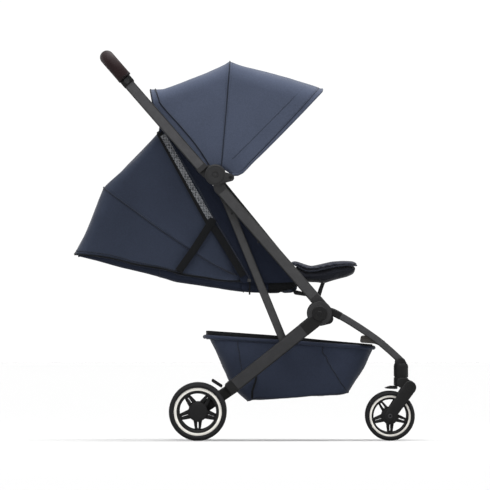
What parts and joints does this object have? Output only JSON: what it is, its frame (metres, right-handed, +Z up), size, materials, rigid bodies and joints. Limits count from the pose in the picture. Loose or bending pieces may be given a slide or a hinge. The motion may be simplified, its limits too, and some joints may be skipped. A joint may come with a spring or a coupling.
{
  "type": "baby stroller",
  "caption": "Compact folding stroller with a fabric seat, sun canopy, reclining tent back, padded leg rest, under-seat basket and swivelling front wheels.",
  "frame": {"origin": "centre of the footprint on the floor", "axes": "+X the way the child faces, +Y the child's left, +Z up"},
  "size_m": [0.9297, 0.45, 1.0604],
  "materials": {
    "grey_metal": "satin",
    "dark_plastic": "satin",
    "black_plastic": "matte",
    "canopy_fabric": "woven",
    "hood_fabric": "woven",
    "seat_lining": "woven",
    "basket_fabric": "woven",
    "grip_leather": "soft grain",
    "button_metal": "satin",
    "wheel_plastic": "satin",
    "tyre": "matte"
  },
  "bodies": {
    "frame": {"main_tube_L": "grey_metal", "main_tube_R": "grey_metal", "main_hinge_upper_L": "dark_plastic", "main_hinge_upper_R": "dark_plastic", "main_hinge_lower_L": "dark_plastic", "main_hinge_lower_R": "dark_plastic", "seat_crossbar": "dark_plastic", "seat_pan": "seat_lining", "seat_side_L": "hood_fabric", "seat_side_R": "hood_fabric", "rear_hood": "hood_fabric", "canopy_rear_bow": "black_plastic", "canopy_rear_panel": "canopy_fabric", "harness_buckle": "black_plastic"},
    "handle": {"handle_tube_L": "grey_metal", "handle_tube_R": "grey_metal", "handle_hinge_L": "dark_plastic", "handle_hinge_R": "dark_plastic", "handle_collar_L": "black_plastic", "handle_collar_R": "black_plastic", "handle_grip": "grip_leather"},
    "rear_legs": {"rear_hinge_L": "dark_plastic", "rear_hinge_R": "dark_plastic", "rear_leg_L": "grey_metal", "rear_leg_R": "grey_metal", "rear_foot_L": "black_plastic", "rear_foot_R": "black_plastic", "rear_axle": "black_plastic", "basket": "basket_fabric"},
    "struts": {"strut_L": "grey_metal", "strut_R": "grey_metal"},
    "front_legs": {"front_leg_L": "grey_metal", "front_leg_R": "grey_metal", "front_column_L": "black_plastic", "front_column_R": "black_plastic", "front_footrest": "dark_plastic"},
    "backrest": {"backrest_pad": "seat_lining", "backrest_shell": "hood_fabric"},
    "canopy_mid": {"canopy_mid_bow": "black_plastic", "canopy_front_panel": "canopy_fabric"},
    "canopy_front": {"canopy_front_bow": "black_plastic"},
    "leg_rest": {"leg_rest_pad": "canopy_fabric"},
    "caster_L": {"caster_fork_L": "black_plastic"},
    "caster_R": {"caster_fork_R": "black_plastic"},
    "front_wheel_L": {"front_wheel_rim_L": "wheel_plastic", "front_wheel_tyre_L": "tyre"},
    "front_wheel_R": {"front_wheel_rim_R": "wheel_plastic", "front_wheel_tyre_R": "tyre"},
    "rear_wheel_L": {"rear_wheel_rim_L": "wheel_plastic", "rear_wheel_tyre_L": "tyre"},
    "rear_wheel_R": {"rear_wheel_rim_R": "wheel_plastic", "rear_wheel_tyre_R": "tyre"},
    "swivel_lock_L": {"swivel_lock_L": "black_plastic"},
    "swivel_lock_R": {"swivel_lock_R": "black_plastic"},
    "brake_pedal_L": {"brake_pedal_L": "black_plastic"},
    "brake_pedal_R": {"brake_pedal_R": "black_plastic"},
    "release_button_L": {"release_button_L": "button_metal"},
    "release_button_R": {"release_button_R": "button_metal"},
    "buckle_button": {"buckle_button": "black_plastic"}
  },
  "joints": [
    {"name": "fold", "type": "hinge", "parent": "frame", "child": "handle", "pos_m": [-0.0805, 0, 0.7216], "axis": [0, 1, 0], "range_deg": [0, 178], "deforming": ["seat_pan", "seat_side_L", "seat_side_R", "backrest_pad", "basket"]},
    {"name": "rear_leg_fold", "type": "hinge", "parent": "frame", "child": "rear_legs", "pos_m": [0.2024, 0, 0.3452], "axis": [0, 1, 0], "range_deg": [0, 80.5]},
    {"name": "front_leg_fold", "type": "hinge", "parent": "frame", "child": "front_legs", "pos_m": [0.2024, 0, 0.3452], "axis": [0, 1, 0], "range_deg": [0, 143.5]},
    {"name": "strut_pivot", "type": "hinge", "parent": "rear_legs", "child": "struts", "pos_m": [0.1082, 0, 0.2611], "axis": [0, 1, 0], "range_deg": [-88.5, 0]},
    {"name": "recline", "type": "hinge", "parent": "frame", "child": "backrest", "pos_m": [0, 0, 0.4143], "axis": [0, -1, 0], "range_deg": [-45, 0], "deforming": ["rear_hood", "backrest_shell"]},
    {"name": "leg_rest_drop", "type": "hinge", "parent": "frame", "child": "leg_rest", "pos_m": [0.1578, 0, 0.4279], "axis": [0, -1, 0], "range_deg": [-60, 0], "deforming": ["leg_rest_pad"]},
    {"name": "canopy_close", "type": "hinge", "parent": "frame", "child": "canopy_mid", "pos_m": [-0.0805, 0, 0.7216], "axis": [0, -1, 0], "range_deg": [0, 39], "deforming": ["canopy_rear_panel"]},
    {"name": "canopy_front_close", "type": "hinge", "parent": "canopy_mid", "child": "canopy_front", "pos_m": [-0.0805, 0, 0.7216], "axis": [0, -1, 0], "range_deg": [0, 37.5], "deforming": ["canopy_front_panel"]},
    {"name": "caster_swivel_L", "type": "hinge", "parent": "front_legs", "child": "caster_L", "pos_m": [0.4243, 0.159, 0.171], "axis": [0, 0, 1], "continuous": true},
    {"name": "caster_swivel_R", "type": "hinge", "parent": "front_legs", "child": "caster_R", "pos_m": [0.4243, -0.159, 0.171], "axis": [0, 0, 1], "continuous": true},
    {"name": "front_wheel_spin_L", "type": "hinge", "parent": "caster_L", "child": "front_wheel_L", "pos_m": [0.3939, 0.159, 0.067], "axis": [0, 1, 0], "continuous": true},
    {"name": "front_wheel_spin_R", "type": "hinge", "parent": "caster_R", "child": "front_wheel_R", "pos_m": [0.3939, -0.159, 0.067], "axis": [0, 1, 0], "continuous": true},
    {"name": "rear_wheel_spin_L", "type": "hinge", "parent": "rear_legs", "child": "rear_wheel_L", "pos_m": [-0.1281, 0.2075, 0.0785], "axis": [0, 1, 0], "continuous": true},
    {"name": "rear_wheel_spin_R", "type": "hinge", "parent": "rear_legs", "child": "rear_wheel_R", "pos_m": [-0.1281, -0.2075, 0.0785], "axis": [0, 1, 0], "continuous": true},
    {"name": "swivel_lock_turn_L", "type": "hinge", "parent": "caster_L", "child": "swivel_lock_L", "pos_m": [0.4105, 0.159, 0.1436], "axis": [0, 1, 0], "range_deg": [0, 12]},
    {"name": "swivel_lock_turn_R", "type": "hinge", "parent": "caster_R", "child": "swivel_lock_R", "pos_m": [0.4105, -0.159, 0.1436], "axis": [0, 1, 0], "range_deg": [0, 12]},
    {"name": "brake_press_L", "type": "hinge", "parent": "rear_legs", "child": "brake_pedal_L", "pos_m": [-0.0647, 0.177, 0.1477], "axis": [0, -1, 0], "range_deg": [0, 14]},
    {"name": "brake_press_R", "type": "hinge", "parent": "rear_legs", "child": "brake_pedal_R", "pos_m": [-0.0647, -0.177, 0.1477], "axis": [0, -1, 0], "range_deg": [0, 14]},
    {"name": "release_push_L", "type": "slide", "parent": "handle", "child": "release_button_L", "axis": [0, -1, 0], "range_m": [0, 0.003], "stiffness_N_per_m": 400},
    {"name": "release_push_R", "type": "slide", "parent": "handle", "child": "release_button_R", "axis": [0, 1, 0], "range_m": [0, 0.003], "stiffness_N_per_m": 400},
    {"name": "buckle_push", "type": "slide", "parent": "frame", "child": "buckle_button", "axis": [-1, 0, 0], "range_m": [0, 0.002], "stiffness_N_per_m": 400}
  ],
  "couplings": [
    {"joint": "rear_leg_fold", "follows": "fold", "ratio": 0.44944},
    {"joint": "front_leg_fold", "follows": "fold", "ratio": 0.80337},
    {"joint": "strut_pivot", "follows": "fold", "ratio": -0.49479},
    {"joint": "canopy_front_close", "follows": "canopy_close", "ratio": 0.95}
  ]
}
